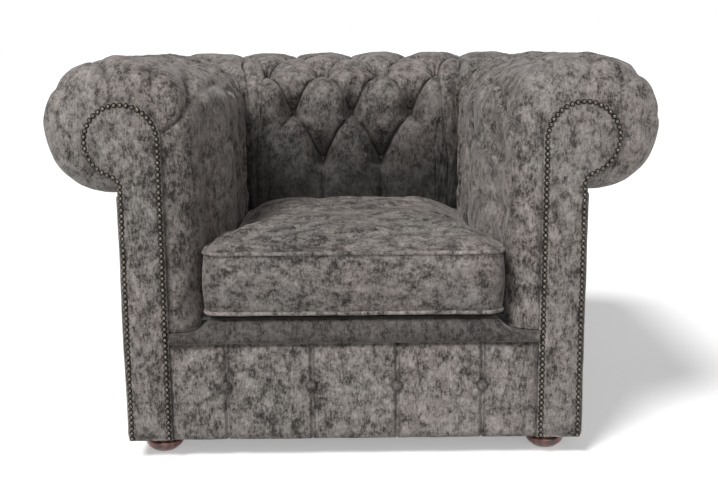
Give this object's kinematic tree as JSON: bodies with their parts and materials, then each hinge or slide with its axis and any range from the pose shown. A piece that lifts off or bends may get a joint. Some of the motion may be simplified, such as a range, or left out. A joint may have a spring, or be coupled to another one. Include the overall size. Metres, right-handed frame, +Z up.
{
  "type": "chesterfield armchair",
  "caption": "Low-backed armchair with rolled, deep-buttoned arms and back, studded scroll fronts, a piped loose seat cushion and turned bun feet.",
  "frame": {"origin": "on the floor under the middle of the chair's bounding box", "axes": "+Z up, the front faces -Y, +X towards the viewer's right when looking at the front"},
  "size_m": [1.0832, 0.879, 0.716],
  "materials": {
    "upholstery": "matte",
    "piping": "matte",
    "button_fabric": "matte",
    "lining": "matte",
    "foam": "matte",
    "webbing": "matte",
    "hardwood": "matte",
    "plywood": "matte",
    "mahogany": "gloss",
    "steel": "satin",
    "zip_metal": "satin",
    "zip_tape": "matte",
    "glide_nylon": "matte"
  },
  "bodies": {
    "chair": {"arm_buttons_left": "button_fabric", "arm_buttons_right": "button_fabric", "arm_cover_left": "upholstery", "arm_cover_right": "upholstery", "arm_facing_left": "upholstery", "arm_facing_right": "upholstery", "arm_foam_left": "foam", "arm_foam_right": "foam", "arm_front_board_left": "plywood", "arm_front_board_right": "plywood", "arm_tack_rail_left": "hardwood", "arm_tack_rail_right": "hardwood", "arm_top_rail_left": "hardwood", "arm_top_rail_right": "hardwood", "arm_upright_left": "hardwood", "arm_upright_right": "hardwood", "arm_webbing_left": "webbing", "arm_webbing_right": "webbing", "back_buttons": "button_fabric", "back_cover": "upholstery", "back_foam": "foam", "back_tack_rail": "hardwood", "back_top_rail": "hardwood", "back_uprights": "hardwood", "back_webbing": "webbing", "border_buttons": "button_fabric", "corner_blocks": "hardwood", "dust_cover": "lining", "foot_bolts": "steel", "foot_front_left": "mahogany", "foot_front_right": "mahogany", "foot_glides": "glide_nylon", "foot_rear_left": "mahogany", "foot_rear_right": "mahogany", "front_border": "upholstery", "outside_arm_panel_left": "upholstery", "outside_arm_panel_right": "upholstery", "outside_back_panel": "upholstery", "rear_post_left": "hardwood", "rear_post_right": "hardwood", "seat_foam": "foam", "seat_lip": "upholstery", "seat_platform_cloth": "lining", "seat_rail_back": "hardwood", "seat_rail_front": "hardwood", "seat_rail_left": "hardwood", "seat_rail_right": "hardwood", "seat_webbing": "webbing"},
    "seat_cushion": {"cushion_border": "upholstery", "cushion_bottom_panel": "upholstery", "cushion_core": "foam", "cushion_piping_bottom": "piping", "cushion_piping_top": "piping", "cushion_top_panel": "upholstery", "cushion_zip": "zip_tape"},
    "zip_pull": {"zip_slider": "zip_metal"}
  },
  "joints": [
    {"name": "cushion_lift", "type": "slide", "parent": "chair", "child": "seat_cushion", "axis": [0, 0, 1], "range_m": [0, 0.48]},
    {"name": "zip_slide", "type": "slide", "parent": "seat_cushion", "child": "zip_pull", "axis": [-1, 0, 0], "range_m": [0, 0.36]}
  ]
}
